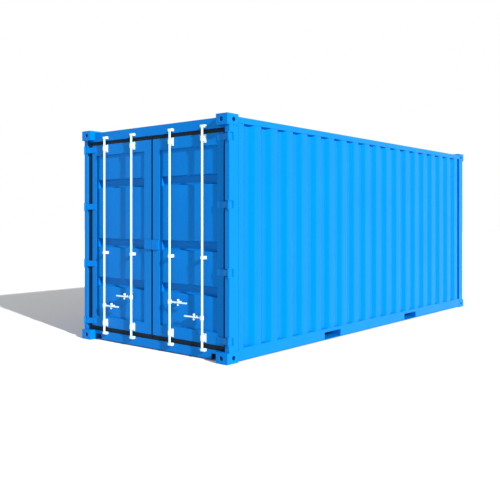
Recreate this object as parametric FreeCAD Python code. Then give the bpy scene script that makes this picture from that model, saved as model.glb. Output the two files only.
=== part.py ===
"""Twenty-foot dry freight container: steel frame, corrugated walls, timber floor and two doors.

Frame: +X runs along the container to its blind end, so the doors are at -X. +Y is the left side
for someone who faces the doors from outside, +Z is up, and the origin is the middle of the
footprint, on the ground. All sizes are in millimetres.
"""

import FreeCAD, Part
import os

# Overall size, over the corner castings
LENGTH = 6058.0
WIDTH = 2438.0
HEIGHT = 2591.0

# Corner castings
CASTING_X = 178.0
CASTING_Y = 162.0
CASTING_Z = 118.0
CASTING_PLATE = 28.0
CASTING_WALL = 14.0
CASTING_BACK = 10.0
SLOT_LENGTH = 124.5
SLOT_WIDTH = 63.5
SLOT_IN_X = 102.5
SLOT_IN_Y = 89.5
LASHING_HOLE_R = 24.0

# How far the frame lies inside the castings' faces
END_INSET = 35.0
SIDE_INSET = 4.0
BASE_LIFT = 15.0
TOP_DROP = 25.0
GEAR_INSET = 76.0

# Frame members
DOOR_POST_Y = 60.0
BLIND_POST_Y = 110.0
POST_WALL = 6.0
JAMB_CLEARANCE = 5.0
JAMB_Y = 46.0
POST_CHANNEL_Y = 30.0
POST_FLANGE = 6.0
TOP_RAIL = 66.0
TOP_RAIL_WALL = 4.0
BOTTOM_RAIL_Z = 130.0
BOTTOM_RAIL_Y = 50.0
BOTTOM_RAIL_WALL = 6.0
HEADER_Z = 113.0
HEADER_STOP_Z = 30.0
SILL_Z = 103.0
BEAM_WALL = 6.0
SILL_NOTCH_Y = 132.0
SILL_NOTCH_Z = 60.0
SILL_NOTCH_X = 60.0

# Corrugated sheets
SHEET = 2.0
WALL_INSET = 4.0
WALL_PITCH = 291.6
WALL_CREST = 113.0
WALL_SLOPE = 54.0
WALL_DEPTH = 36.0
WALL_FIRST_CREST = 88.0
END_PITCH = 250.0
END_CREST = 100.0
END_SLOPE = 40.0
END_DEPTH = 45.0
ROOF_PITCH = 209.0
ROOF_CREST = 91.0
ROOF_SLOPE = 22.0
ROOF_DEPTH = 20.0
ROOF_DROP = 3.0

# Underframe and floor
POCKET_CENTRE_X = 1050.0
POCKET_X = 360.0
POCKET_Z = 80.0
POCKET_WALL = 6.0
MEMBER_PITCH = 300.0
MEMBER_X = 45.0
MEMBER_LIFT = 8.0
MEMBER_WALL = 4.5
FLOOR_Z = 28.0

# Doors
DOOR_FACE = 70.0
LEAF = 50.0
DOOR_GAP_SIDE = 50.0
DOOR_GAP_TOP = 45.0
DOOR_GAP_BOTTOM = 53.0
DOOR_GAP_MIDDLE = 20.0
OUTER_STILE = 90.0
INNER_STILE = 124.0
DOOR_RAIL = 130.0
PANEL_RECESS = 22.0
PANEL_SHEET = 3.0
RIB_DEPTH = 45.0
RIB_Z = 108.0
RIB_SLOPE = 8.0
RIBS_OVER_FOOT = (554.0, 1032.0)
RIB_UNDER_HEAD = 483.0
SEAL_FRONT = 5.0
SEAL_BACK = 5.0
SEAL_CLEARANCE = 8.0
SEAL_MIDDLE = 2.0
PLATE_Y = 118.0
PLATE_Z = 108.0
PLATE_X = 14.0
PLATE_GAP = 8.0

# Hinges
HINGES_OVER_FOOT = (58.0, 770.0)
HINGES_UNDER_HEAD = (760.0, 55.0)
PIN_IN_X = 34.0
PIN_IN_Y = 14.0
PIN_R = 8.0
PIN_CLEARANCE = 0.5
KNUCKLE_WALL = 3.5
KNUCKLE_Z = 70.0
LUG_Z = 14.0
LUG_GAP = 2.0
BLADE = 8.0
BLADE_STRAIGHT = 52.0
BLADE_CRANK = 36.0
BLADE_LAP = 80.0
SWING_CLEARANCE = 6.0
SWING_RELIEF_X = 47.0
SWING_RELIEF_Y = 10.0

# Lock rods, their guides, keepers, handles and catches
OUTER_ROD_IN_Y = 280.0
INNER_ROD_IN_Y = 315.0
ROD_IN_X = 38.0
ROD_R = 12.0
ROD_CLEARANCE = 0.5
ROD_BELOW_SILL = 16.0
ROD_ABOVE_HEADER = 38.0
CAM_LOBE = 6.0
CAM_Z = 16.0
CAM_FLAT = 9.0
KEEPER_CHEEK = 6.0
KEEPER_ROOM = 6.0
KEEPER_Z = 30.0
KEEPER_PLATE = 6.0
KEEPER_NOSE = 36.0
KEEPER_GAP = 6.0
GUIDE_PLATE_Y = 66.0
GUIDE_PLATE_Z = 92.0
GUIDE_PLATE_X = 6.0
GUIDE_WALL = 6.0
GUIDE_BLOCK_Z = 54.0
GUIDE_OVER_FOOT = 61.0
GUIDE_UNDER_HEAD = 52.0
CLIP_OVER_FOOT = 915.0
CLIP_Z = 34.0
OUTER_HANDLE_OVER_FOOT = 273.0
INNER_HANDLE_OVER_FOOT = 409.0
HANDLE_REACH = 270.0
HANDLE_X = 10.0
HANDLE_Z = 16.0
HUB_WALL = 7.0
HUB_Z = 44.0
HUB_BOSS = 6.0
HUB_CHEEK = 3.0
CATCH_REACH = 128.0
CATCH_Y = 12.0
CATCH_PRONG = 21.0
CATCH_GAP = 6.0
CATCH_BAR = 8.0
CATCH_STEM = 22.0

# Planes that more than one piece meets
DOOR_END = -LENGTH / 2
BLIND_END = LENGTH / 2
SIDE = WIDTH / 2
RAIL_END = LENGTH / 2 - CASTING_X
SIDE_FACE = SIDE - SIDE_INSET
BASE = BASE_LIFT
TOP = HEIGHT - TOP_DROP
RAIL_UNDER = TOP - TOP_RAIL
RAIL_OVER = BASE + BOTTOM_RAIL_Z
SILL_TOP = BASE + SILL_Z
HEADER_UNDER = TOP - HEADER_Z
CASTING_SIDE = SIDE - CASTING_Y
POST_FOOT = CASTING_Z
POST_HEAD = HEIGHT - CASTING_Z
POST_INNER = SIDE_FACE - DOOR_POST_Y
BEAM_BACK = DOOR_END + CASTING_X
LEAF_FRONT = DOOR_END + DOOR_FACE
LEAF_BACK = LEAF_FRONT + LEAF
JAMB_FRONT = LEAF_BACK + JAMB_CLEARANCE
DOOR_OUTER = POST_INNER - DOOR_GAP_SIDE
DOOR_INNER = DOOR_GAP_MIDDLE / 2
DOOR_FOOT = SILL_TOP + DOOR_GAP_BOTTOM
DOOR_HEAD = HEADER_UNDER - DOOR_GAP_TOP
PIN_X = DOOR_END + PIN_IN_X
PIN_Y = SIDE - PIN_IN_Y
ROD_X = DOOR_END + ROD_IN_X
ROD_FOOT = SILL_TOP - ROD_BELOW_SILL
ROD_HEAD = HEADER_UNDER + ROD_ABOVE_HEADER

# Sizes that follow from what goes through or lies in them
KNUCKLE_R = PIN_R + PIN_CLEARANCE + KNUCKLE_WALL
HUB_R = ROD_R + HUB_WALL
CAM_R = ROD_R + CAM_LOBE
GUIDE_BLOCK_Y = 2 * (ROD_R + ROD_CLEARANCE + GUIDE_WALL)
KEEPER_JAW = 2 * (CAM_R + KEEPER_ROOM)
KEEPER_Y = KEEPER_JAW + 2 * KEEPER_CHEEK
CATCH_MOUTH = HANDLE_Z + 2 * CATCH_GAP

# Heights of what the leaves carry, from their foot or their head
RIB_HEIGHTS = (*[DOOR_FOOT + up for up in RIBS_OVER_FOOT], DOOR_HEAD - RIB_UNDER_HEAD)
LOWER_HINGES = [DOOR_FOOT + up for up in HINGES_OVER_FOOT]
HINGE_HEIGHTS = LOWER_HINGES + [DOOR_HEAD - down for down in HINGES_UNDER_HEAD]
GUIDE_HEIGHTS = (DOOR_FOOT + GUIDE_OVER_FOOT, DOOR_HEAD - GUIDE_UNDER_HEAD)
CLIP_HEIGHT = DOOR_FOOT + CLIP_OVER_FOOT

# Lock rods of the left leaf: name, place, the way its handle points, and the handle's height
ROD_PLACES = (
    ("outer", DOOR_OUTER - OUTER_ROD_IN_Y, -1, DOOR_FOOT + OUTER_HANDLE_OVER_FOOT),
    ("inner", DOOR_INNER + INNER_ROD_IN_Y, 1, DOOR_FOOT + INNER_HANDLE_OVER_FOOT),
)


def box(x, y, z):
    """A block between two corners, given as (low, high) pairs along each axis."""
    corner = FreeCAD.Vector(x[0], y[0], z[0])
    return Part.makeBox(x[1] - x[0], y[1] - y[0], z[1] - z[0], corner)


def rod(radius, x, y, z):
    """An upright cylinder between two heights."""
    return Part.makeCylinder(radius, z[1] - z[0], FreeCAD.Vector(x, y, z[0]))


def prism(points, direction):
    """A closed outline pushed along a direction."""
    corners = [FreeCAD.Vector(*point) for point in points]
    outline = Part.makePolygon(corners + corners[:1])
    return Part.Face(outline).extrude(FreeCAD.Vector(*direction))


def mirrored(shape):
    """The same shape on the right side."""
    return shape.mirror(FreeCAD.Vector(0, 0, 0), FreeCAD.Vector(0, 1, 0))


def turned_end_for_end(shape):
    """The same shape at the blind end."""
    return shape.mirror(FreeCAD.Vector(0, 0, 0), FreeCAD.Vector(1, 0, 0))


def upside_down(shape):
    """The same shape reflected from the foot of the container to its top."""
    return shape.mirror(FreeCAD.Vector(0, 0, HEIGHT / 2), FreeCAD.Vector(0, 0, 1))


def solids_of(shapes):
    """Several pieces that share one file."""
    return Part.makeCompound([solid for shape in shapes for solid in shape.Solids])


def save(name, *shapes):
    """Write one named piece, or a set of like pieces."""
    shape = solids_of(shapes)
    assert shape.isValid(), name
    shape.exportStep(f"parts/{name}.step")


def save_pair(name, shape):
    """Write a piece of the left side and its mirror image on the right."""
    save(f"{name}_left", shape)
    save(f"{name}_right", mirrored(shape))


def stadium(centre, length, width, depth):
    """A slot with round ends, long along X, cut upwards from its centre."""
    x, y, z = centre
    half = (length - width) / 2
    body = box((x - half, x + half), (y - width / 2, y + width / 2), (z, z + depth))
    ends = [rod(width / 2, x + side * half, y, (z, z + depth)) for side in (-1, 1)]
    return body.fuse(ends).removeSplitter()


def corrugation(start, end, first_crest, pitch, crest, slope, depth):
    """The outer line of a corrugated sheet, as (along, inward) points."""
    points = [(start, 0.0)]
    along = start + first_crest
    trough = pitch - crest - 2 * slope
    while along + slope < end:
        points += [(along, 0.0), (along + slope, depth)]
        back = along + slope + trough
        if back + slope > end:
            points.append((end, depth))
            return points
        points += [(back, depth), (back + slope, 0.0)]
        along += pitch
    points.append((end, 0.0))
    return points


# ---- corner castings -------------------------------------------------------------------------


def casting():
    """Bottom casting of the left door corner, hollow, with its three holes."""
    x = (DOOR_END, DOOR_END + CASTING_X)
    y = (CASTING_SIDE, SIDE)
    shape = box(x, y, (0, CASTING_Z))
    hollow_x = (x[0] + CASTING_WALL, x[1] - CASTING_BACK)
    hollow_y = (y[0] + CASTING_BACK, y[1] - CASTING_WALL)
    shape = shape.cut(box(hollow_x, hollow_y, (CASTING_PLATE, CASTING_Z - CASTING_WALL)))
    slot_x = DOOR_END + SLOT_IN_X
    slot_y = SIDE - SLOT_IN_Y
    shape = shape.cut(stadium((slot_x, slot_y, 0), SLOT_LENGTH, SLOT_WIDTH, CASTING_PLATE))
    middle = FreeCAD.Vector(x[0], slot_y, CASTING_Z / 2)
    end_hole = Part.makeCylinder(LASHING_HOLE_R, CASTING_WALL, middle, FreeCAD.Vector(1, 0, 0))
    middle = FreeCAD.Vector(slot_x, y[1], CASTING_Z / 2)
    side_hole = Part.makeCylinder(LASHING_HOLE_R, CASTING_WALL, middle, FreeCAD.Vector(0, -1, 0))
    return shape.cut([end_hole, side_hole])


def castings():
    low = casting()
    high = upside_down(low)
    for name, corner in (("bottom", low), ("top", high)):
        save(f"castings_door_{name}", corner, mirrored(corner))
        far = turned_end_for_end(corner)
        save(f"castings_blind_{name}", far, mirrored(far))


# ---- posts, rails and beams ------------------------------------------------------------------


def hinge_pockets():
    """What the hinges need cut from the left door post, so that the leaf folds right back."""
    cuts = []
    front = DOOR_END + END_INSET
    half_pocket = KNUCKLE_Z / 2 + LUG_GAP + LUG_Z
    half_slot = KNUCKLE_Z / 2 + SWING_CLEARANCE
    reach = KNUCKLE_R + SWING_CLEARANCE
    blade_back = PIN_X + KNUCKLE_R + SWING_CLEARANCE
    relief_x = (PIN_X + reach, PIN_X + reach + SWING_RELIEF_X)
    for height in HINGE_HEIGHTS:
        pocket = (height - half_pocket, height + half_pocket)
        slot = (height - half_slot, height + half_slot)
        cuts.append(box((front, PIN_X + reach), (PIN_Y - reach, SIDE), pocket))
        cuts.append(box((front, blade_back), (POST_INNER, PIN_Y - reach), slot))
        cuts.append(box(relief_x, (SIDE_FACE - SWING_RELIEF_Y, SIDE), slot))
    return cuts


def door_post():
    """The post has a channel towards the leaf, and its jamb behind the leaf meets the seal."""
    x = (DOOR_END + END_INSET, BEAM_BACK)
    z = (POST_FOOT, POST_HEAD)
    channel_x = (x[0] + POST_FLANGE, JAMB_FRONT)
    channel = box(channel_x, (POST_INNER, POST_INNER + POST_CHANNEL_Y), z)
    post = box(x, (POST_INNER, SIDE_FACE), z).cut([channel] + hinge_pockets())
    jamb_y = (POST_INNER - JAMB_Y, POST_INNER)
    jamb = box((JAMB_FRONT, BEAM_BACK), jamb_y, (SILL_TOP, HEADER_UNDER))
    return post.fuse(jamb).removeSplitter()


def blind_post():
    x = (RAIL_END, BLIND_END - END_INSET)
    y = (SIDE_FACE - BLIND_POST_Y, SIDE_FACE)
    z = (POST_FOOT, POST_HEAD)
    hollow_x = (x[0] + POST_WALL, x[1] - POST_WALL)
    hollow_y = (y[0] + POST_WALL, y[1] - POST_WALL)
    return box(x, y, z).cut(box(hollow_x, hollow_y, z))


def header():
    """Door header: between the castings above, and out to the posts below them."""
    x = (DOOR_END + GEAR_INSET, BEAM_BACK)
    upper = box(x, (-CASTING_SIDE, CASTING_SIDE), (POST_HEAD, TOP))
    lower = box(x, (-POST_INNER, POST_INNER), (HEADER_UNDER, POST_HEAD))
    hollow_x = (x[0] + BEAM_WALL, x[1] - BEAM_WALL)
    hollow_z = (POST_HEAD + BEAM_WALL, TOP - BEAM_WALL)
    hollow = box(hollow_x, (-CASTING_SIDE, CASTING_SIDE), hollow_z)
    stop = stop_bar(HEADER_UNDER - HEADER_STOP_Z, HEADER_UNDER)
    return upper.fuse([lower, stop]).removeSplitter().cut(hollow)


def stop_bar(low, high):
    """The bar between the jambs that the seals meet at the sill or the header."""
    reach = POST_INNER - JAMB_Y
    return box((JAMB_FRONT, BEAM_BACK), (-reach, reach), (low, high))


def sill():
    """Door sill, open at the back, with a notch at each end and a threshold up to the floor."""
    x = (DOOR_END + GEAR_INSET, BEAM_BACK)
    beam = box(x, (-CASTING_SIDE, CASTING_SIDE), (BASE, SILL_TOP))
    hollow_x = (x[0] + BEAM_WALL, x[1])
    hollow_z = (BASE + BEAM_WALL, SILL_TOP - BEAM_WALL)
    beam = beam.cut(box(hollow_x, (-CASTING_SIDE, CASTING_SIDE), hollow_z))
    beam = beam.fuse(stop_bar(SILL_TOP, RAIL_OVER + FLOOR_Z)).removeSplitter()
    notch_x = (x[0], x[0] + SILL_NOTCH_X)
    notch_y = (CASTING_SIDE - SILL_NOTCH_Y, CASTING_SIDE)
    notch = box(notch_x, notch_y, (BASE, BASE + SILL_NOTCH_Z))
    return beam.cut([notch, mirrored(notch)])


def blind_rails():
    """Top and bottom rails of the blind end, between its castings."""
    outer = BLIND_END - END_INSET
    y = (-CASTING_SIDE, CASTING_SIDE)
    top = box((outer - TOP_RAIL, outer), y, (RAIL_UNDER, TOP))
    hollow_x = (outer - TOP_RAIL + TOP_RAIL_WALL, outer - TOP_RAIL_WALL)
    top = top.cut(box(hollow_x, y, (RAIL_UNDER + TOP_RAIL_WALL, TOP - TOP_RAIL_WALL)))
    bottom = box((outer - BOTTOM_RAIL_Y, outer), y, (BASE, RAIL_OVER))
    hollow_x = (outer - BOTTOM_RAIL_Y, outer - BOTTOM_RAIL_WALL)
    hollow_z = (BASE + BOTTOM_RAIL_WALL, RAIL_OVER - BOTTOM_RAIL_WALL)
    return top, bottom.cut(box(hollow_x, y, hollow_z))


def top_rail():
    x = (-RAIL_END, RAIL_END)
    y = (SIDE_FACE - TOP_RAIL, SIDE_FACE)
    hollow_y = (y[0] + TOP_RAIL_WALL, y[1] - TOP_RAIL_WALL)
    hollow_z = (RAIL_UNDER + TOP_RAIL_WALL, TOP - TOP_RAIL_WALL)
    return box(x, y, (RAIL_UNDER, TOP)).cut(box(x, hollow_y, hollow_z))


def pocket_outer(centre, half_width):
    """The space one fork pocket takes up, right across the container."""
    half = POCKET_X / 2 + POCKET_WALL
    z = (BASE, BASE + POCKET_Z + 2 * POCKET_WALL)
    return box((centre - half, centre + half), (-half_width, half_width), z)


def bottom_rail():
    """A channel, open inwards, that the fork pockets pass through."""
    x = (-RAIL_END, RAIL_END)
    y = (SIDE_FACE - BOTTOM_RAIL_Y, SIDE_FACE)
    hollow_y = (y[0], y[1] - BOTTOM_RAIL_WALL)
    hollow_z = (BASE + BOTTOM_RAIL_WALL, RAIL_OVER - BOTTOM_RAIL_WALL)
    rail = box(x, y, (BASE, RAIL_OVER)).cut(box(x, hollow_y, hollow_z))
    return rail.cut([pocket_outer(side * POCKET_CENTRE_X, SIDE) for side in (-1, 1)])


# ---- sheets ----------------------------------------------------------------------------------


def side_wall():
    """The left side wall, standing between the side rails and the posts."""
    outer = SIDE_FACE - WALL_INSET
    line = corrugation(
        -RAIL_END, RAIL_END, WALL_FIRST_CREST, WALL_PITCH, WALL_CREST, WALL_SLOPE, WALL_DEPTH
    )
    front = [(x, outer - inward, RAIL_OVER) for x, inward in line]
    back = [(x, y - SHEET, z) for x, y, z in reversed(front)]
    return prism(front + back, (0, 0, RAIL_UNDER - RAIL_OVER))


def blind_wall():
    """The wall of the blind end, cut round the top castings."""
    half = SIDE_FACE - BLIND_POST_Y
    outer = BLIND_END - END_INSET - WALL_INSET
    lap = 2 * half - END_PITCH * int(2 * half / END_PITCH)
    first = (lap + END_CREST) / 2
    line = corrugation(-half, half, first, END_PITCH, END_CREST, END_SLOPE, END_DEPTH)
    front = [(outer - inward, y, RAIL_OVER) for y, inward in line]
    back = [(x - SHEET, y, z) for x, y, z in reversed(front)]
    wall = prism(front + back, (0, 0, RAIL_UNDER - RAIL_OVER))
    corner = box((RAIL_END, BLIND_END), (CASTING_SIDE, SIDE), (POST_HEAD, HEIGHT))
    return wall.cut([corner, mirrored(corner)])


def roof():
    """The roof sheet, with its corrugations across the container."""
    start = BEAM_BACK
    end = BLIND_END - END_INSET - TOP_RAIL
    y = SIDE_FACE - TOP_RAIL
    top = TOP - ROOF_DROP
    line = corrugation(start, end, ROOF_CREST, ROOF_PITCH, ROOF_CREST, ROOF_SLOPE, ROOF_DEPTH)
    upper = [(x, -y, top - inward) for x, inward in line]
    lower = [(x, y_low, z - SHEET) for x, y_low, z in reversed(upper)]
    sheet = prism(upper + lower, (0, 2 * y, 0))
    corner = box((RAIL_END, BLIND_END), (CASTING_SIDE, SIDE), (POST_HEAD, HEIGHT))
    return sheet.cut([corner, mirrored(corner)])


# ---- underframe and floor --------------------------------------------------------------------


def fork_pockets():
    """Two rectangular tunnels from one side to the other."""
    tunnels = []
    for side in (-1, 1):
        centre = side * POCKET_CENTRE_X
        x = (centre - POCKET_X / 2, centre + POCKET_X / 2)
        z = (BASE + POCKET_WALL, BASE + POCKET_WALL + POCKET_Z)
        tunnel = pocket_outer(centre, SIDE_FACE)
        tunnels.append(tunnel.cut(box(x, (-SIDE, SIDE), z)))
    return tunnels


def cross_members():
    """Channels under the floor, from rail to rail, left out where a fork pocket passes."""
    members = []
    half = SIDE_FACE - BOTTOM_RAIL_Y
    count = int((RAIL_END - MEMBER_X) / MEMBER_PITCH)
    for step in range(-count, count + 1):
        x = step * MEMBER_PITCH
        if abs(abs(x) - POCKET_CENTRE_X) < POCKET_X / 2 + POCKET_WALL + MEMBER_X:
            continue
        span = (x - MEMBER_X / 2, x + MEMBER_X / 2)
        hollow = (span[0] + MEMBER_WALL, span[1])
        z = (BASE + MEMBER_LIFT, RAIL_OVER)
        hollow_z = (z[0] + MEMBER_WALL, z[1] - MEMBER_WALL)
        member = box(span, (-half, half), z)
        members.append(member.cut(box(hollow, (-half, half), hollow_z)))
    return members


def floor():
    """Timber floor on the cross members, from the sill to the blind wall."""
    z = (RAIL_OVER, RAIL_OVER + FLOOR_Z)
    half = SIDE_FACE - WALL_INSET - WALL_DEPTH - SHEET
    main = box((BEAM_BACK, RAIL_END), (-half, half), z)
    half = SIDE_FACE - BLIND_POST_Y
    wall = BLIND_END - END_INSET - WALL_INSET - END_DEPTH - SHEET
    return main.fuse(box((RAIL_END, wall), (-half, half), z)).removeSplitter()


# ---- doors -----------------------------------------------------------------------------------


def door_frame():
    """Two stiles and two rails of the left leaf, welded into one frame."""
    x = (LEAF_FRONT, LEAF_BACK)
    ring = box(x, (DOOR_INNER, DOOR_OUTER), (DOOR_FOOT, DOOR_HEAD))
    y = (DOOR_INNER + INNER_STILE, DOOR_OUTER - OUTER_STILE)
    return ring.cut(box(x, y, (DOOR_FOOT + DOOR_RAIL, DOOR_HEAD - DOOR_RAIL)))


def door_panel():
    """The sheet inside the frame, with three ribs pressed inwards."""
    y = (DOOR_INNER + INNER_STILE, DOOR_OUTER - OUTER_STILE)
    z = (DOOR_FOOT + DOOR_RAIL, DOOR_HEAD - DOOR_RAIL)
    flat = LEAF_FRONT + PANEL_RECESS
    half = RIB_Z / 2
    outer = [(flat, z[0])]
    for height in RIB_HEIGHTS:
        outer.append((flat, height - half))
        outer.append((flat + RIB_DEPTH, height - half + RIB_SLOPE))
        outer.append((flat + RIB_DEPTH, height + half - RIB_SLOPE))
        outer.append((flat, height + half))
    outer.append((flat, z[1]))
    inner = [(x + PANEL_SHEET, height) for x, height in reversed(outer)]
    points = [(x, y[0], height) for x, height in outer + inner]
    return prism(points, (0, y[1] - y[0], 0))


def door_seal():
    """Rubber strip round the left leaf, which fills most of the gap to the frame."""
    x = (LEAF_FRONT + SEAL_FRONT, LEAF_BACK - SEAL_BACK)
    leaf = box(x, (DOOR_INNER, DOOR_OUTER), (DOOR_FOOT, DOOR_HEAD))
    y = (DOOR_INNER - SEAL_MIDDLE, POST_INNER - SEAL_CLEARANCE)
    z = (SILL_TOP + SEAL_CLEARANCE, HEADER_UNDER - SEAL_CLEARANCE)
    return box(x, y, z).cut(leaf)


def meeting_plate():
    """Half of the block that covers the gap between the leaves at mid height."""
    x = (LEAF_FRONT - PLATE_X, LEAF_FRONT)
    middle = RIB_HEIGHTS[1]
    return box(x, (PLATE_GAP / 2, PLATE_Y), (middle - PLATE_Z / 2, middle + PLATE_Z / 2))


def hinge_blade(height):
    """A knuckle round the pin, and a cranked blade that laps on to the outer stile."""
    z = (height - KNUCKLE_Z / 2, height + KNUCKLE_Z / 2)
    back = PIN_X + KNUCKLE_R
    front = back - BLADE
    step = LEAF_FRONT - back
    straight = PIN_Y - BLADE_STRAIGHT
    cranked = straight - BLADE_CRANK
    lap = DOOR_OUTER - BLADE_LAP
    points = [
        (front, PIN_Y, z[0]),
        (front, straight, z[0]),
        (front + step, cranked, z[0]),
        (front + step, lap, z[0]),
        (back + step, lap, z[0]),
        (back + step, cranked - BLADE, z[0]),
        (back, straight - BLADE / 2, z[0]),
        (back, PIN_Y, z[0]),
    ]
    blade = prism(points, (0, 0, KNUCKLE_Z))
    knuckle = rod(KNUCKLE_R, PIN_X, PIN_Y, z)
    bore = rod(PIN_R + PIN_CLEARANCE, PIN_X, PIN_Y, z)
    return blade.fuse(knuckle).removeSplitter().cut(bore)


def hinge_lug(height):
    """A pin held by a lug above and a lug below, which fill the ends of the post's pocket."""
    front = DOOR_END + END_INSET
    reach = KNUCKLE_R + SWING_CLEARANCE
    inner = KNUCKLE_Z / 2 + LUG_GAP
    outer = inner + LUG_Z
    shape = rod(PIN_R, PIN_X, PIN_Y, (height - outer, height + outer))
    for side in (-1, 1):
        z = sorted((height + side * inner, height + side * outer))
        shape = shape.fuse(rod(KNUCKLE_R, PIN_X, PIN_Y, z))
        shape = shape.fuse(box((front, PIN_X + reach), (PIN_Y - reach, SIDE_FACE), z))
    return shape.removeSplitter()


# ---- lock gear -------------------------------------------------------------------------------


def rod_guide(y, height):
    """A plate on the leaf with a block that the lock rod turns in."""
    plate_x = (LEAF_FRONT - GUIDE_PLATE_X, LEAF_FRONT)
    plate_y = (y - GUIDE_PLATE_Y / 2, y + GUIDE_PLATE_Y / 2)
    plate = box(plate_x, plate_y, (height - GUIDE_PLATE_Z / 2, height + GUIDE_PLATE_Z / 2))
    return plate.fuse(guide_block(y, height, GUIDE_BLOCK_Z)).removeSplitter()


def guide_block(y, height, tall):
    """A block from the leaf's face round the rod, with a round nose."""
    z = (height - tall / 2, height + tall / 2)
    nose = GUIDE_BLOCK_Y / 2
    block = box((ROD_X, LEAF_FRONT), (y - nose, y + nose), z)
    block = block.fuse(rod(nose, ROD_X, y, z)).removeSplitter()
    return block.cut(rod(ROD_R + ROD_CLEARANCE, ROD_X, y, z))


def handle_catch(y, height):
    """A fork on a stem from the panel that the handle lies in, open to the front."""
    half = CATCH_MOUTH / 2
    z = (height - half - CATCH_PRONG, height + half + CATCH_PRONG)
    span = (y - CATCH_Y / 2, y + CATCH_Y / 2)
    front = ROD_X - HANDLE_X / 2
    seat = ROD_X + HANDLE_X / 2 + CATCH_GAP
    fork = box((front, seat + CATCH_BAR), span, z)
    fork = fork.cut(box((front, seat), span, (height - half, height + half)))
    stem_z = (height - CATCH_STEM / 2, height + CATCH_STEM / 2)
    stem = box((seat + CATCH_BAR, LEAF_FRONT + PANEL_RECESS), span, stem_z)
    return fork.fuse(stem).removeSplitter()


def brackets():
    """Every guide, clip and catch that the left leaf carries."""
    pieces = []
    for _, y, way, handle_height in ROD_PLACES:
        pieces += [rod_guide(y, height) for height in GUIDE_HEIGHTS]
        clip_y = (y - GUIDE_BLOCK_Y / 2, y + GUIDE_BLOCK_Y / 2)
        clip_z = (CLIP_HEIGHT - CLIP_Z / 2, CLIP_HEIGHT + CLIP_Z / 2)
        foot = box((LEAF_FRONT, LEAF_FRONT + PANEL_RECESS), clip_y, clip_z)
        pieces.append(guide_block(y, CLIP_HEIGHT, CLIP_Z).fuse(foot).removeSplitter())
        pieces.append(handle_catch(y + way * CATCH_REACH, handle_height))
    return pieces


def keeper(y):
    """A hooded jaw on the sill that the rod's foot stands in, open to the front."""
    face = DOOR_END + GEAR_INSET
    foot = ROD_FOOT - KEEPER_GAP - KEEPER_PLATE
    z = (foot, foot + KEEPER_Z)
    span = (y - KEEPER_Y / 2, y + KEEPER_Y / 2)
    block = box((DOOR_END + KEEPER_NOSE, face), span, z)
    jaw_x = (DOOR_END, face - KEEPER_PLATE)
    jaw_y = (y - KEEPER_JAW / 2, y + KEEPER_JAW / 2)
    return block.cut(box(jaw_x, jaw_y, (foot + KEEPER_PLATE, foot + KEEPER_Z)))


def top_keeper(y):
    """The same jaw on the header, over the rod's head."""
    shift = ROD_HEAD + ROD_FOOT
    low = keeper(y)
    return low.mirror(FreeCAD.Vector(0, 0, shift / 2), FreeCAD.Vector(0, 0, 1))


def cam(y, z):
    """A flat-backed cam at one end of a lock rod."""
    disc = rod(CAM_R, ROD_X, y, z)
    back = box((ROD_X + CAM_FLAT, ROD_X + CAM_R), (y - CAM_R, y + CAM_R), z)
    return disc.cut(back)


def lock_rod(y, way, height):
    """A tube with a cam at each end, and a hub whose boss the handle is fixed to."""
    shape = rod(ROD_R, ROD_X, y, (ROD_FOOT, ROD_HEAD))
    z = (height - HUB_Z / 2, height + HUB_Z / 2)
    half = HANDLE_X / 2 + HUB_CHEEK
    boss = box((ROD_X - half, ROD_X + half), sorted((y, y + way * (HUB_R + HUB_BOSS))), z)
    ends = [cam(y, (ROD_FOOT, ROD_FOOT + CAM_Z)), cam(y, (ROD_HEAD - CAM_Z, ROD_HEAD))]
    return shape.fuse([rod(HUB_R, ROD_X, y, z), boss] + ends).removeSplitter()


def handle(y, way, height):
    """A flat bar from the hub's boss, with a rounded end."""
    x = (ROD_X - HANDLE_X / 2, ROD_X + HANDLE_X / 2)
    z = (height - HANDLE_Z / 2, height + HANDLE_Z / 2)
    tip = y + way * (HANDLE_REACH - HANDLE_Z / 2)
    bar = box(x, sorted((y + way * (HUB_R + HUB_BOSS), tip)), z)
    centre = FreeCAD.Vector(x[0], tip, height)
    end = Part.makeCylinder(HANDLE_Z / 2, HANDLE_X, centre, FreeCAD.Vector(1, 0, 0))
    return bar.fuse(end).removeSplitter()


# ---- the container ---------------------------------------------------------------------------


def shell():
    castings()
    save_pair("post_door", door_post())
    save_pair("post_blind", blind_post())
    save("header", header())
    save("sill", sill())
    top, bottom = blind_rails()
    save("rail_blind_top", top)
    save("rail_blind_bottom", bottom)
    save_pair("rail_top", top_rail())
    save_pair("rail_bottom", bottom_rail())
    save_pair("wall", side_wall())
    save("wall_blind", blind_wall())
    save("roof", roof())
    save("floor", floor())
    save("fork_pockets", *fork_pockets())
    save("cross_members", *cross_members())
    lugs = [hinge_lug(height) for height in HINGE_HEIGHTS]
    save("hinge_lugs", *lugs, *[mirrored(lug) for lug in lugs])


def doors():
    save_pair("door_frame", door_frame())
    save_pair("door_panel", door_panel())
    save_pair("door_seal", door_seal())
    save_pair("door_plate", meeting_plate())
    save_pair("door_hinges", solids_of([hinge_blade(height) for height in HINGE_HEIGHTS]))
    save_pair("door_brackets", solids_of(brackets()))


def lock_gear():
    low = [keeper(y) for _, y, _, _ in ROD_PLACES]
    high = [top_keeper(y) for _, y, _, _ in ROD_PLACES]
    save("keepers_sill", *low, *[mirrored(piece) for piece in low])
    save("keepers_header", *high, *[mirrored(piece) for piece in high])
    for name, y, way, height in ROD_PLACES:
        save_pair(f"lock_rod_{name}", lock_rod(y, way, height))
        save_pair(f"lock_handle_{name}", handle(y, way, height))


os.makedirs("parts", exist_ok=True)
shell()
doors()
lock_gear()
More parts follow.
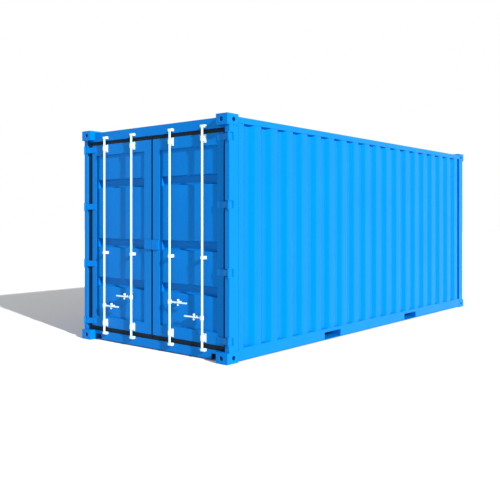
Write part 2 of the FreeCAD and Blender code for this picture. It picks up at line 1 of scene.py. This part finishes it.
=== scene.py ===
"""Looks of a twenty-foot dry freight container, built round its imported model, in metres.

+X runs to the blind end, so the doors are at -X. +Y is the left side for someone who faces the
doors from outside, +Z is up, and the container stands on z = 0.
"""

import math

import bmesh
import bpy
from mathutils import Matrix, Vector


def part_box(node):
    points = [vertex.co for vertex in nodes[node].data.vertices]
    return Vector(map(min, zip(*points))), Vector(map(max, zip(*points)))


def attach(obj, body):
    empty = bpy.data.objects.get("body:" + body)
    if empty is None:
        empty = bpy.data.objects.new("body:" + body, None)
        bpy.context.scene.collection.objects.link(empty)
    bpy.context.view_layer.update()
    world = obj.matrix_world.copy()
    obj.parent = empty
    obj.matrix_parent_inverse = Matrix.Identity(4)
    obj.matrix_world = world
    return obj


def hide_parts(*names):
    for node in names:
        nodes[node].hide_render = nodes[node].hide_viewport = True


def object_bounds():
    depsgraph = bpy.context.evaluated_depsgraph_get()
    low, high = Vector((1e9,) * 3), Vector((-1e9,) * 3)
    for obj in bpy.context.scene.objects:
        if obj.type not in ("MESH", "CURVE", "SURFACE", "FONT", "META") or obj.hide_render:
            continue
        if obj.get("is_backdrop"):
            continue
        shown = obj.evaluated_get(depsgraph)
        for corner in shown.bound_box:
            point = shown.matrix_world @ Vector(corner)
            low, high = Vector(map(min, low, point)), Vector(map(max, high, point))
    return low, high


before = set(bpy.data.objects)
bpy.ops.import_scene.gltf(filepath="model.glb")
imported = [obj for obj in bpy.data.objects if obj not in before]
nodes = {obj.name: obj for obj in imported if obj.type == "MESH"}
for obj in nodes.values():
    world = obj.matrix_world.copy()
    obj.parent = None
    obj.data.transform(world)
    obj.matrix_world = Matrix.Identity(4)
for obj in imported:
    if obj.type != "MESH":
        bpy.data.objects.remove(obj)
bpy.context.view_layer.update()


# ---- corner castings -------------------------------------------------------------------------
# Eight hollow blocks of cast steel, one at each corner. They are shot-blasted, welded to the
# frame and painted with it, so the grain of the sand mould still shows through the paint.

CASTING_EDGE = 0.004
EDGE_SEGMENTS = 2
EDGE_OVER = math.radians(35)
MERGE = 0.00005
SKY_BLUE = "#006AB8"
SKY_BLUE_THIN = "#0065B0"
BLUE_SHEEN = "#0078FF"
CASTING_GRAIN = 0.006


def linear(colour):
    """An sRGB hex colour as linear red, green, blue and alpha."""
    parts = [int(colour[place:place + 2], 16) / 255 for place in (1, 3, 5)]
    return (*[((part + 0.055) / 1.055) ** 2.4 if part > 0.04045 else part / 12.92 for part in parts], 1.0)


def add(tree, kind, sockets, **settings):
    """Add one shader node, with its settings and with values or links for its sockets."""
    node = tree.nodes.new("ShaderNode" + kind)
    for name, value in settings.items():
        setattr(node, name, value)
    for name, value in sockets.items():
        if isinstance(value, bpy.types.NodeSocket):
            tree.links.new(value, node.inputs[name])
        else:
            node.inputs[name].default_value = value
    return node


def new_material(name):
    """An empty material, its node tree and the object's own coordinates."""
    material = bpy.data.materials.new(name)
    material.use_nodes = True
    tree = material.node_tree
    tree.nodes.clear()
    return material, tree, add(tree, "TexCoord", {}).outputs["Object"]


def blue_paint(name, grain, depth):
    """Satin polyurethane topcoat, sprayed over primer: one strong blue that tints its own sheen,
    a little uneven in tone and gloss from pass to pass, over a surface with its own grain."""
    material, tree, place = new_material(name)
    passes = add(tree, "TexNoise", {"Vector": place, "Scale": 1 / 0.45, "Detail": 3.0}).outputs["Fac"]
    tone = add(tree, "MixRGB", {"Fac": passes, "Color1": linear(SKY_BLUE), "Color2": linear(SKY_BLUE_THIN)})
    gloss = add(tree, "MapRange", {"Value": passes, "To Min": 0.34, "To Max": 0.48})
    skin = add(tree, "TexNoise", {"Vector": place, "Scale": 1 / grain, "Detail": 2.0}).outputs["Fac"]
    bump = add(tree, "Bump", {"Height": skin, "Distance": depth, "Strength": 0.6})
    paint = add(tree, "BsdfPrincipled", {
        "Base Color": tone.outputs["Color"], "Roughness": gloss.outputs["Result"],
        "Normal": bump.outputs["Normal"], "IOR": 1.5, "Specular IOR Level": 0.15,
        "Specular Tint": linear(BLUE_SHEEN)})
    add(tree, "OutputMaterial", {"Surface": paint.outputs["BSDF"]})
    return material


def dress(names, material, edge):
    """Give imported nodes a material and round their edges."""
    for name in names:
        mesh = nodes[name].data
        mesh.materials.clear()
        mesh.materials.append(material)
        if "custom_normal" in mesh.attributes:
            mesh.attributes.remove(mesh.attributes["custom_normal"])
        mesh.shade_smooth()
        nodes[name].modifiers.new("joined", "WELD").merge_threshold = MERGE
        bevel = nodes[name].modifiers.new("rounded", "BEVEL")
        bevel.width = edge
        bevel.segments = EDGE_SEGMENTS
        bevel.limit_method = "ANGLE"
        bevel.angle_limit = EDGE_OVER
        nodes[name].modifiers.new("even", "WEIGHTED_NORMAL")


cast_paint = blue_paint("painted_cast_steel", CASTING_GRAIN, 0.0012)
dress([name for name in nodes if name.startswith("castings_")], cast_paint, CASTING_EDGE)


# ---- posts, rails and beams ------------------------------------------------------------------
# The frame between the castings: posts, rails, a header and a sill of pressed and welded steel.
# The press leaves rounded corners, and the topcoat's orange peel is all that marks the faces.

FRAME_EDGE = 0.003
ORANGE_PEEL = 0.02  # real orange peel is 3 mm across, drawn coarser so that it shows

steel_paint = blue_paint("painted_pressed_steel", ORANGE_PEEL, 0.0006)
FRAME = [name for name in nodes if name.startswith(("post_", "rail_", "header", "sill"))]
dress(FRAME, steel_paint, FRAME_EDGE)


# ---- corrugated sheets -----------------------------------------------------------------------
# Side walls, blind wall, roof and door panels are steel sheets of 2 to 3 mm, pressed into ribs
# over round dies, so every fold is a small curve. The wide flats pull into very shallow waves.

FOLD = 0.007
FOLD_SEGMENTS = 4
FOLD_OVER = math.radians(15)
FOLD_UNDER = math.radians(85)
FOLD_SHORTEST = 0.3
FLAT_UNDER = 0.01


def sheet_paint():
    """The same topcoat on thin sheet, which shows slow waves between the folds."""
    material = blue_paint("painted_corrugated_sheet", ORANGE_PEEL, 0.0005)
    tree = material.node_tree
    bump = next(node for node in tree.nodes if node.type == "BUMP")
    place = next(node for node in tree.nodes if node.type == "TEX_COORD").outputs["Object"]
    waves = add(tree, "TexNoise", {"Vector": place, "Scale": 1 / 0.35, "Detail": 1.0}).outputs["Fac"]
    slow = add(tree, "Bump", {"Height": waves, "Distance": 0.01, "Strength": 0.35})
    tree.links.new(slow.outputs["Normal"], bump.inputs["Normal"])
    return material


def merged_copy(name):
    """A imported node's mesh, its loose triangles merged and its flat faces made whole."""
    bm = bmesh.new()
    bm.from_mesh(nodes[name].data)
    bmesh.ops.remove_doubles(bm, verts=bm.verts, dist=MERGE)
    bmesh.ops.dissolve_limit(bm, angle_limit=FLAT_UNDER, verts=bm.verts, edges=bm.edges)
    return bm


def finish(bm, name, body, material, smooth_under=EDGE_OVER):
    """Turn a bmesh into a piece that rides on a body, smooth where its faces meet gently."""
    mesh = bpy.data.meshes.new(name)
    bm.normal_update()
    bm.to_mesh(mesh)
    bm.free()
    mesh.shade_smooth()
    mesh.set_sharp_from_angle(angle=smooth_under)
    mesh.materials.append(material)
    piece = bpy.data.objects.new(name, mesh)
    bpy.context.scene.collection.objects.link(piece)
    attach(piece, body)
    return piece


def is_fold(edge):
    """A long edge between two faces that meet at less than a sheet's square rim."""
    if len(edge.link_faces) != 2 or edge.calc_length() <= FOLD_SHORTEST:
        return False
    return FOLD_OVER < edge.calc_face_angle() < FOLD_UNDER


def folded_sheet(name, body):
    """A sheet whose pressed folds are round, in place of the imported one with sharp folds."""
    bm = merged_copy(name)
    folds = [edge for edge in bm.edges if is_fold(edge)]
    bmesh.ops.bevel(
        bm, geom=folds, affect="EDGES", offset=FOLD, segments=FOLD_SEGMENTS, profile=0.5,
        material=-1, clamp_overlap=True)
    piece = finish(bm, name + "_sheet", body, sheet_blue)
    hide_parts(name)


sheet_blue = sheet_paint()
for sheet in ("wall_left", "wall_right", "wall_blind", "roof"):
    folded_sheet(sheet, "shell")
for side in ("left", "right"):
    folded_sheet(f"door_panel_{side}", f"door_{side}")


# ---- rib end plates --------------------------------------------------------------------------
# The door panels' ribs are pressed deeper than the frame round them, so each end of a rib is
# closed by a small plate of 2 mm steel, cut to the rib's outline and welded in flush.

END_PLATE = 0.002


def drawn_out(bm, faces, by):
    """Extrude faces by a vector, keeping the first ones as the other side."""
    made = bmesh.ops.extrude_face_region(bm, geom=faces, use_keep_orig=True)["geom"]
    verts = [one for one in made if isinstance(one, bmesh.types.BMVert)]
    bmesh.ops.translate(bm, verts=verts, vec=by)


for side in ("left", "right"):
    low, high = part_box(f"door_panel_{side}")
    verts = [vert.co for vert in nodes[f"door_panel_{side}"].data.vertices]
    flat, _, deep, _ = sorted({round(place.x, 4) for place in verts})
    outline = sorted({(round(place.z, 4), round(place.x, 4)) for place in verts
                      if round(place.x, 4) in (flat, deep)})
    plates = bmesh.new()
    for rib in range(len(outline) // 4):
        corners = outline[4 * rib + 1:4 * rib + 5]
        for y, inward in ((low.y, 1), (high.y, -1)):
            face = plates.faces.new([plates.verts.new((x, y, z)) for z, x in corners])
            drawn_out(plates, [face], (0, inward * END_PLATE, 0))
    bmesh.ops.recalc_face_normals(plates, faces=plates.faces)
    finish(plates, f"rib_end_plates_{side}", f"door_{side}", steel_paint)


# ---- weld beads ------------------------------------------------------------------------------
# The frame is welded to the castings all round, and each sheet is welded along its whole edge.
# The beads are narrow, a little uneven from one run of the torch to the next, and painted over.

BEAD_R = 0.004
SEAM_R = 0.0028
STITCH = 0.02
SEAM_STITCH = 0.07
BEAD_SWELL = 1.12
BEAD_SIDES = 6
BEAD_SMOOTH = math.radians(80)
EDGE_NEAR = 0.0005
SILL_WELD = (0.08, 0.115)  # from the notch to the top of the casting


def bead(bm, path, radius, pitch):
    """Draw a six-sided ring along straight runs between points, swelling at every other step."""
    points = [Vector(path[0])]
    for start, end in zip(path, path[1:]):
        start, end = Vector(start), Vector(end)
        steps = max(1, round((end - start).length / pitch))
        points += [start.lerp(end, step / steps) for step in range(1, steps + 1)]
    along = points[-1] - points[0]
    turn = Vector((0, 0, 1)).rotation_difference(along).to_matrix().to_4x4()
    ring = bmesh.ops.create_circle(
        bm, segments=BEAD_SIDES, radius=radius, matrix=Matrix.Translation(points[0]) @ turn)["verts"]
    edges = list({edge for vert in ring for edge in vert.link_edges})
    rims = list(edges)
    for step, (start, end) in enumerate(zip(points, points[1:])):
        made = bmesh.ops.extrude_edge_only(bm, edges=edges)["geom"]
        ring = [one for one in made if isinstance(one, bmesh.types.BMVert)]
        edges = [one for one in made if isinstance(one, bmesh.types.BMEdge) and one.is_boundary]
        swell = BEAD_SWELL if step % 2 else 1 / BEAD_SWELL
        bmesh.ops.translate(bm, verts=ring, vec=end - start)
        bmesh.ops.scale(bm, verts=ring, vec=Vector((swell,) * 3), space=Matrix.Translation(-end))
    bmesh.ops.holes_fill(bm, edges=rims + edges, sides=BEAD_SIDES)


def edge_line(name, along, fixed, value, outward):
    """Outer line of a sheet at one of its straight edges: along one axis, level on another."""
    line = {}
    for vert in nodes[name].data.vertices:
        place = vert.co
        if abs(place[fixed] - value) < EDGE_NEAR:
            key = round(place[along], 4)
            kept = line.get(key, place)
            line[key] = max(kept, place, key=lambda one: one.dot(Vector(outward))).copy()
    return [line[key] for key in sorted(line)]


welds = bmesh.new()
casting_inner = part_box("sill")[1].y
casting_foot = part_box("castings_door_top")[0].z
for end in ("door", "blind"):
    for hand in ("left", "right"):
        low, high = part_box(f"post_{end}_{hand}")
        front = low.x if end == "door" else high.x
        back = high.x if end == "door" else low.x
        inner, outer = (low.y, high.y) if hand == "left" else (high.y, low.y)
        for z in (low.z, high.z):
            bead(welds, [(front, inner, z), (front, outer, z)], BEAD_R, STITCH)
            bead(welds, [(front, outer, z), (back, outer, z)], BEAD_R, STITCH)
        bead(welds, [(back, outer, low.z), (back, outer, high.z)], SEAM_R, SEAM_STITCH)
for hand, way in (("left", 1), ("right", -1)):
    for rail in ("top", "bottom"):
        low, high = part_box(f"rail_{rail}_{hand}")
        face = high.y if way > 0 else low.y
        for x in (low.x, high.x):
            bead(welds, [(x, face, low.z), (x, face, high.z)], BEAD_R, STITCH)
    low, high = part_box(f"wall_{hand}")
    for z in (low.z, high.z):
        bead(welds, edge_line(f"wall_{hand}", 0, 2, z, (0, way, 0)), SEAM_R, SEAM_STITCH)
    roof_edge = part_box("roof")[1].y * way
    bead(welds, edge_line("roof", 0, 1, roof_edge, (0, 0, 1)), SEAM_R, SEAM_STITCH)
    for beam in ("header", "sill"):
        low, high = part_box(beam)
        foot, head = (casting_foot, high.z) if beam == "header" else SILL_WELD
        y = way * casting_inner
        bead(welds, [(low.x, y, foot), (low.x, y, head)], BEAD_R, STITCH)
low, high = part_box("wall_blind")
for z in (low.z, high.z):
    bead(welds, edge_line("wall_blind", 1, 2, z, (1, 0, 0)), SEAM_R, SEAM_STITCH)
bmesh.ops.recalc_face_normals(welds, faces=welds.faces)
finish(welds, "frame_weld_beads", "shell", cast_paint, BEAD_SMOOTH)


# ---- underframe ------------------------------------------------------------------------------
# Pressed channels run across from rail to rail, and two fork pockets are welded in between
# them. All of it has the frame's paint.

UNDERFRAME_EDGE = 0.002

dress(["cross_members", "fork_pockets"], steel_paint, UNDERFRAME_EDGE)


# ---- floor -----------------------------------------------------------------------------------
# Sheets of 28 mm hardwood plywood lie lengthwise in two rows, screwed to the cross members
# with steel screws. The face veneer is red-brown, with a long open grain under clear sealer.

PANELS_ALONG = 4
PANEL_GAP = 0.004
PANEL_EDGE = 0.0015
SCREW_R = 0.006
SCREW_STAND = 0.0008
SCREW_EDGE_IN = 0.05
SCREW_SIDES = 8
HEAD_TAPER = 0.8
HEAD_ROUND = 0.25
HEAD_ROUND_LIMIT = 0.6
HEAD_TOP_OVER = 0.9
SCREWS_ACROSS = 5
GRAIN_WIDTH = 0.012
GRAIN_LENGTH = 0.5
SHEET_TONE = 1.25
ZINC_MOTTLE = 0.004


def plywood():
    """Rotary-cut hardwood veneer: fine streaks along the sheet between two browns, and a satin
    sealer that is duller in the open pores."""
    material, tree, place = new_material("sealed_hardwood_plywood")
    stretch = add(tree, "Mapping", {"Vector": place, "Scale": (1 / GRAIN_LENGTH, 1 / GRAIN_WIDTH, 1.0)})
    grain = add(tree, "TexNoise", {"Vector": stretch.outputs["Vector"], "Scale": 1.0, "Detail": 5.0,
                                   "Distortion": 0.6}).outputs["Fac"]
    sheets = add(tree, "TexNoise", {"Vector": place, "Scale": 1 / SHEET_TONE, "Detail": 1.0}).outputs["Fac"]
    brown = add(tree, "MixRGB", {"Fac": grain, "Color1": linear("#5A3420"), "Color2": linear("#A06A42")})
    shade = add(tree, "MixRGB", {"Fac": sheets, "Color1": brown.outputs["Color"],
                                 "Color2": linear("#7C4A2C")})
    dull = add(tree, "MapRange", {"Value": grain, "To Min": 0.62, "To Max": 0.45})
    bump = add(tree, "Bump", {"Height": grain, "Distance": 0.0008, "Strength": 0.5})
    wood = add(tree, "BsdfPrincipled", {
        "Base Color": shade.outputs["Color"], "Roughness": dull.outputs["Result"],
        "Normal": bump.outputs["Normal"], "IOR": 1.5})
    add(tree, "OutputMaterial", {"Surface": wood.outputs["BSDF"]})
    return material


def block(bm, low, high, edge):
    """A block between two corners, with rounded edges."""
    size = Vector(high) - Vector(low)
    middle = (Vector(high) + Vector(low)) / 2
    place = Matrix.Translation(middle) @ Matrix.Diagonal((*size, 1))
    made = bmesh.ops.create_cube(bm, size=1.0, matrix=place)
    edges = {one for vert in made["verts"] for one in vert.link_edges}
    bmesh.ops.bevel(
        bm, geom=list(edges), affect="EDGES", offset=edge, segments=2, profile=0.5, material=-1)


def round_head(bm, place, direction, radius, stand, sides):
    """A domed head that stands off a face along a direction."""
    place, direction = Vector(place), Vector(direction)
    turn = Vector((0, 0, 1)).rotation_difference(direction).to_matrix().to_4x4()
    centre = Matrix.Translation(place + direction * stand / 2)
    made = bmesh.ops.create_cone(
        bm, cap_ends=True, segments=sides, radius1=radius, radius2=radius * HEAD_TAPER, depth=stand,
        matrix=centre @ turn)
    rim = {one for vert in made["verts"] for one in vert.link_edges}
    top = [one for one in rim if all(
        (vert.co - place).dot(direction) > stand * HEAD_TOP_OVER for vert in one.verts)]
    rounding = min(radius * HEAD_ROUND, stand * HEAD_ROUND_LIMIT)
    bmesh.ops.bevel(
        bm, geom=top, affect="EDGES", offset=rounding, segments=2, profile=0.5, material=-1)


def zinc_screw():
    """Zinc-plated steel, dulled by passivation: grey metal with a fine mottle."""
    material, tree, place = new_material("zinc_plated_steel")
    mottle = add(tree, "TexNoise", {"Vector": place, "Scale": 1 / ZINC_MOTTLE, "Detail": 2.0}).outputs["Fac"]
    tone = add(tree, "MixRGB", {"Fac": mottle, "Color1": linear("#9DA1A3"), "Color2": linear("#B9BCBC")})
    dull = add(tree, "MapRange", {"Value": mottle, "To Min": 0.35, "To Max": 0.5})
    zinc = add(tree, "BsdfPrincipled", {
        "Base Color": tone.outputs["Color"], "Metallic": 1.0, "Roughness": dull.outputs["Result"]})
    add(tree, "OutputMaterial", {"Surface": zinc.outputs["BSDF"]})
    return material


floor_low, floor_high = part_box("floor")
main_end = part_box("rail_bottom_left")[1].x
half_width = floor_high.y
boards = bmesh.new()
sheet_long = (main_end - floor_low.x) / PANELS_ALONG
for along in range(PANELS_ALONG):
    for row in (-1, 1):
        start = floor_low.x + along * sheet_long
        across = sorted((row * PANEL_GAP / 2, row * (half_width - PANEL_GAP)))
        block(
            boards, (start + PANEL_GAP / 2, across[0], floor_low.z),
            (start + sheet_long - PANEL_GAP / 2, across[1], floor_high.z), PANEL_EDGE)
end_half = -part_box("post_blind_right")[1].y - PANEL_GAP
block(
    boards, (main_end + PANEL_GAP / 2, -end_half, floor_low.z),
    (floor_high.x, end_half, floor_high.z), PANEL_EDGE)
plywood_floor = finish(boards, "plywood_sheets", "shell", plywood())
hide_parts("floor")


def solids(name):
    """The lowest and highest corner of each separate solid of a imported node."""
    bm = merged_copy(name)
    unseen, boxes = set(bm.verts), []
    while unseen:
        found, seen = [unseen.pop()], []
        while found:
            vert = found.pop()
            seen.append(vert.co.copy())
            for link in vert.link_edges:
                other = link.other_vert(vert)
                if other in unseen:
                    unseen.remove(other)
                    found.append(other)
        boxes.append([Vector(pick(place[axis] for place in seen) for axis in range(3))
                      for pick in (min, max)])
    bm.free()
    return boxes


screws = bmesh.new()
for low, high in solids("cross_members"):
    x = (low.x + high.x) / 2
    for row in (-1, 1):
        for number in range(SCREWS_ACROSS):
            share = number / (SCREWS_ACROSS - 1)
            y = row * (SCREW_EDGE_IN + share * (half_width - 2 * SCREW_EDGE_IN))
            round_head(screws, (x, y, floor_high.z), (0, 0, 1), SCREW_R, SCREW_STAND, SCREW_SIDES)
finish(screws, "floor_screws", "shell", zinc_screw())


# ---- lock gear and bolts: white enamel -------------------------------------------------------
# Forged and tubular steel, galvanised and finished in white enamel. It is smooth on the tubes
# and slightly grained on the forgings, and it is the one bright thing on the doors.

GEAR_EDGE = 0.0025
# Both whites are tinted blue: painted reflected light from the blue paint round the gear.
GEAR_WHITE_WITH_PAINTED_BOUNCE = "#C9DCE5"
GEAR_GREY_WITH_PAINTED_BOUNCE = "#B8CDD8"
FORGED_GRAIN = 0.008
GUIDE_PLATE = 0.006
GUIDE_WIDER_THAN = 0.05
BOLT_R = 0.0065
BOLT_STAND = 0.005
BOLT_IN = 0.009
BOLT_SIDES = 12
RIVET_R = 0.0055
RIVET_STAND = 0.003
RIVET_IN = 0.012


def white_enamel():
    """White enamel over zinc: nearly flat white, a touch greyer in the grain's hollows, and both tones
    tinted blue as painted reflected light from the blue paint round the gear.
    """
    material, tree, place = new_material("white_enamelled_forged_steel")
    grain = add(tree, "TexNoise", {
        "Vector": place, "Scale": 1 / FORGED_GRAIN, "Detail": 2.0}).outputs["Fac"]
    tone = add(tree, "MixRGB", {"Fac": grain, "Color1": linear(GEAR_WHITE_WITH_PAINTED_BOUNCE), "Color2": linear(GEAR_GREY_WITH_PAINTED_BOUNCE)})
    gloss = add(tree, "MapRange", {"Value": grain, "To Min": 0.28, "To Max": 0.42})
    bump = add(tree, "Bump", {"Height": grain, "Distance": 0.0006, "Strength": 0.5})
    enamel = add(tree, "BsdfPrincipled", {
        "Base Color": tone.outputs["Color"], "Roughness": gloss.outputs["Result"],
        "Normal": bump.outputs["Normal"], "IOR": 1.5})
    add(tree, "OutputMaterial", {"Surface": enamel.outputs["BSDF"]})
    return material


gear_white = white_enamel()
GEAR = [name for name in nodes if name.startswith(("lock_", "keepers_", "door_brackets"))]
dress(GEAR, gear_white, GEAR_EDGE)

for side in ("left", "right"):
    bolts = bmesh.new()
    for low, high in solids(f"door_brackets_{side}"):
        if high.y - low.y < GUIDE_WIDER_THAN:
            continue  # a clip or a catch, which is welded on
        face = high.x - GUIDE_PLATE
        for y in (low.y + BOLT_IN, high.y - BOLT_IN):
            for z in (low.z + BOLT_IN, high.z - BOLT_IN):
                round_head(bolts, (face, y, z), (-1, 0, 0), BOLT_R, BOLT_STAND, BOLT_SIDES)
    finish(bolts, f"guide_bolts_{side}", f"door_{side}", gear_white)
    for name in ("outer", "inner"):
        low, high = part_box(f"lock_handle_{name}_{side}")
        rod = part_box(f"lock_rod_{name}_{side}")[0]
        y = low.y + RIVET_IN if low.y > rod.y else high.y - RIVET_IN
        z = (low.z + high.z) / 2
        rivets = bmesh.new()
        round_head(rivets, (low.x, y, z), (-1, 0, 0), RIVET_R, RIVET_STAND, BOLT_SIDES)
        round_head(rivets, (high.x, y, z), (1, 0, 0), RIVET_R, RIVET_STAND, BOLT_SIDES)
        finish(rivets, f"handle_rivets_{name}_{side}", f"rod_{side}_{name}", gear_white)


# ---- door leaves -----------------------------------------------------------------------------
# Each leaf is a welded frame of rectangular tube round a pressed sheet. The tube's corners are
# rounder than the frame's plates. Half of the block over the meeting line is welded to each.

LEAF_EDGE = 0.005
BLOCK_EDGE = 0.003
HINGE_EDGE = 0.002
BLADE_LAP = 0.055

dress([name for name in nodes if name.startswith("door_frame")], steel_paint, LEAF_EDGE)
dress([name for name in nodes if name.startswith("door_plate")], cast_paint, BLOCK_EDGE)
dress([name for name in nodes if name.startswith(("door_hinges", "hinge_lugs"))], cast_paint, HINGE_EDGE)

for side, way in (("left", 1), ("right", -1)):
    hinge_welds = bmesh.new()
    for low, high in solids(f"door_hinges_{side}"):
        tip = low.y if way > 0 else high.y
        root = tip + way * BLADE_LAP
        face = high.x
        bead(hinge_welds, [(face, tip, low.z), (face, tip, high.z)], SEAM_R, STITCH)
        for z in (low.z, high.z):
            bead(hinge_welds, [(face, tip, z), (face, root, z)], SEAM_R, STITCH)
    bmesh.ops.recalc_face_normals(hinge_welds, faces=hinge_welds.faces)
    finish(
        hinge_welds, f"hinge_weld_beads_{side}", f"door_{side}", cast_paint,
        BEAD_SMOOTH)


# ---- door seals ------------------------------------------------------------------------------
# Extruded rubber strip round the back of each leaf, held by it and pressed on the jamb. It is
# matt, its black tinted blue as painted shade of the door gaps, and a round lip stands forward along its
# outer edge.

SEAL_EDGE = 0.003
LIP_WIDTH = 0.008
LIP_STAND = 0.004
LIP_ROUND = 0.0025
LIP_SEGMENTS = 3
RUN_SHORTEST = 0.5
DIE_MARKS = 0.015


def seal_rubber():
    """Extruded rubber: black tinted blue as painted shade of the door gaps, matt, with the faint lengthwise
    marks of its die.
    """
    material, tree, place = new_material("extruded_seal_rubber")
    marks = add(tree, "TexNoise", {"Vector": place, "Scale": 1 / DIE_MARKS, "Detail": 2.0}).outputs["Fac"]
    # The blue in these two near-blacks is painted shade of the door gaps, not the rubber's own colour.
    tone = add(tree, "MixRGB", {"Fac": marks, "Color1": linear("#020F1A"), "Color2": linear("#0A1B29")})
    bump = add(tree, "Bump", {"Height": marks, "Distance": 0.0006, "Strength": 0.4})
    rubber = add(tree, "BsdfPrincipled", {
        "Base Color": tone.outputs["Color"], "Roughness": 0.68, "Normal": bump.outputs["Normal"],
        "IOR": 1.5, "Specular IOR Level": 0.15})
    add(tree, "OutputMaterial", {"Surface": rubber.outputs["BSDF"]})
    return material


rubber_with_painted_gap_shade = seal_rubber()
dress(["door_seal_left", "door_seal_right"], rubber_with_painted_gap_shade, SEAL_EDGE)

for side in ("left", "right"):
    low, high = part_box(f"door_seal_{side}")
    lip = bmesh.new()
    middle = Matrix.Translation((low.x, (low.y + high.y) / 2, (low.z + high.z) / 2))
    upright = Matrix.Rotation(math.radians(90), 4, "Y")
    size = Matrix.Diagonal(((high.z - low.z) / 2, (high.y - low.y) / 2, 1, 1))
    bmesh.ops.create_grid(
        lip, x_segments=1, y_segments=1, size=1.0, matrix=middle @ upright @ size)
    inside = list(lip.faces)
    bmesh.ops.inset_region(
        lip, faces=inside, thickness=LIP_WIDTH, use_boundary=True, use_even_offset=True)
    bmesh.ops.delete(lip, geom=inside, context="FACES_ONLY")
    drawn_out(lip, list(lip.faces), (-LIP_STAND, 0, 0))
    crown = [edge for edge in lip.edges if edge.calc_length() > RUN_SHORTEST and all(
        vert.co.x < low.x - LIP_STAND / 2 for vert in edge.verts)]
    bmesh.ops.bevel(
        lip, geom=crown, affect="EDGES", offset=LIP_ROUND, segments=LIP_SEGMENTS, profile=0.5,
        material=-1)
    bmesh.ops.recalc_face_normals(lip, faces=lip.faces)
    finish(lip, f"seal_lip_{side}", f"door_{side}", rubber_with_painted_gap_shade)


# ---- floor, light and camera -----------------------------------------------------------------
# A plain white studio floor and a white surround, one low sun on the right side wall, and a
# level camera off the right door corner.

STUDIO = 60.0
SUN_TRAVELS = (0.22, 0.875, -0.43)
SUN_STRENGTH = 7.0
SUN_ANGLE = 1.5
WALL_LIGHT = 1.0
WALL_HEIGHT = 0.3
CEILING_LIGHT = 0.45
CEILING_HEIGHT = 0.6
DUST = 2.5
CAMERA_PLACE = (-8.1948, -5.8305, 1.5115)
CAMERA_HEADING = math.radians(-50.164)
LENS = 48.753
SENSOR = 36.0
LENS_SHIFT = -0.0645

stage_bm = bmesh.new()
bmesh.ops.create_grid(stage_bm, x_segments=1, y_segments=1, size=STUDIO)
stage_mesh = bpy.data.meshes.new("studio_floor")
stage_bm.to_mesh(stage_mesh)
stage_bm.free()
studio_floor = bpy.data.objects.new("studio_floor", stage_mesh)
bpy.context.scene.collection.objects.link(studio_floor)
studio_floor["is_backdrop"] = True
white, tree, place = new_material("white_studio_paper")
dust = add(tree, "TexNoise", {"Vector": place, "Scale": 1 / DUST, "Detail": 2.0}).outputs["Fac"]
paper = add(tree, "MixRGB", {"Fac": dust, "Color1": linear("#E9E9E9"), "Color2": linear("#ECECEC")})
matt = add(tree, "BsdfPrincipled", {
    "Base Color": paper.outputs["Color"], "Roughness": 0.9, "Specular IOR Level": 0.1})
add(tree, "OutputMaterial", {"Surface": matt.outputs["BSDF"]})
stage_mesh.materials.append(white)

world = bpy.data.worlds.new("white_surround")
world.use_nodes = True
bpy.context.scene.world = world
tree = world.node_tree
tree.nodes.clear()
direction = add(tree, "TexCoord", {}).outputs["Generated"]
height = add(tree, "SeparateXYZ", {"Vector": direction}).outputs["Z"]
level = add(tree, "MapRange", {
    "Value": height, "From Min": WALL_HEIGHT, "From Max": CEILING_HEIGHT,
    "To Min": WALL_LIGHT, "To Max": CEILING_LIGHT})
surround = add(tree, "Background", {
    "Color": (1.0, 1.0, 1.0, 1.0), "Strength": level.outputs["Result"]})
add(tree, "OutputWorld", {"Surface": surround.outputs["Background"]})

sun = bpy.data.lights.new("low_sun", "SUN")
sun.energy = SUN_STRENGTH
sun.angle = math.radians(SUN_ANGLE)
lamp = bpy.data.objects.new("low_sun", sun)
lamp.rotation_euler = Vector(SUN_TRAVELS).to_track_quat("-Z", "Y").to_euler()
bpy.context.scene.collection.objects.link(lamp)

camera_data = bpy.data.cameras.new("camera")
camera_data.lens = LENS
camera_data.sensor_width = SENSOR
camera_data.shift_y = LENS_SHIFT
camera = bpy.data.objects.new("camera", camera_data)
camera.location = CAMERA_PLACE
camera.rotation_euler = (math.radians(90), 0.0, CAMERA_HEADING)
bpy.context.scene.collection.objects.link(camera)
bpy.context.scene.camera = camera
bpy.context.scene.view_settings.view_transform = "Standard"


# ---- sizes and finish ------------------------------------------------------------------------

low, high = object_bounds()
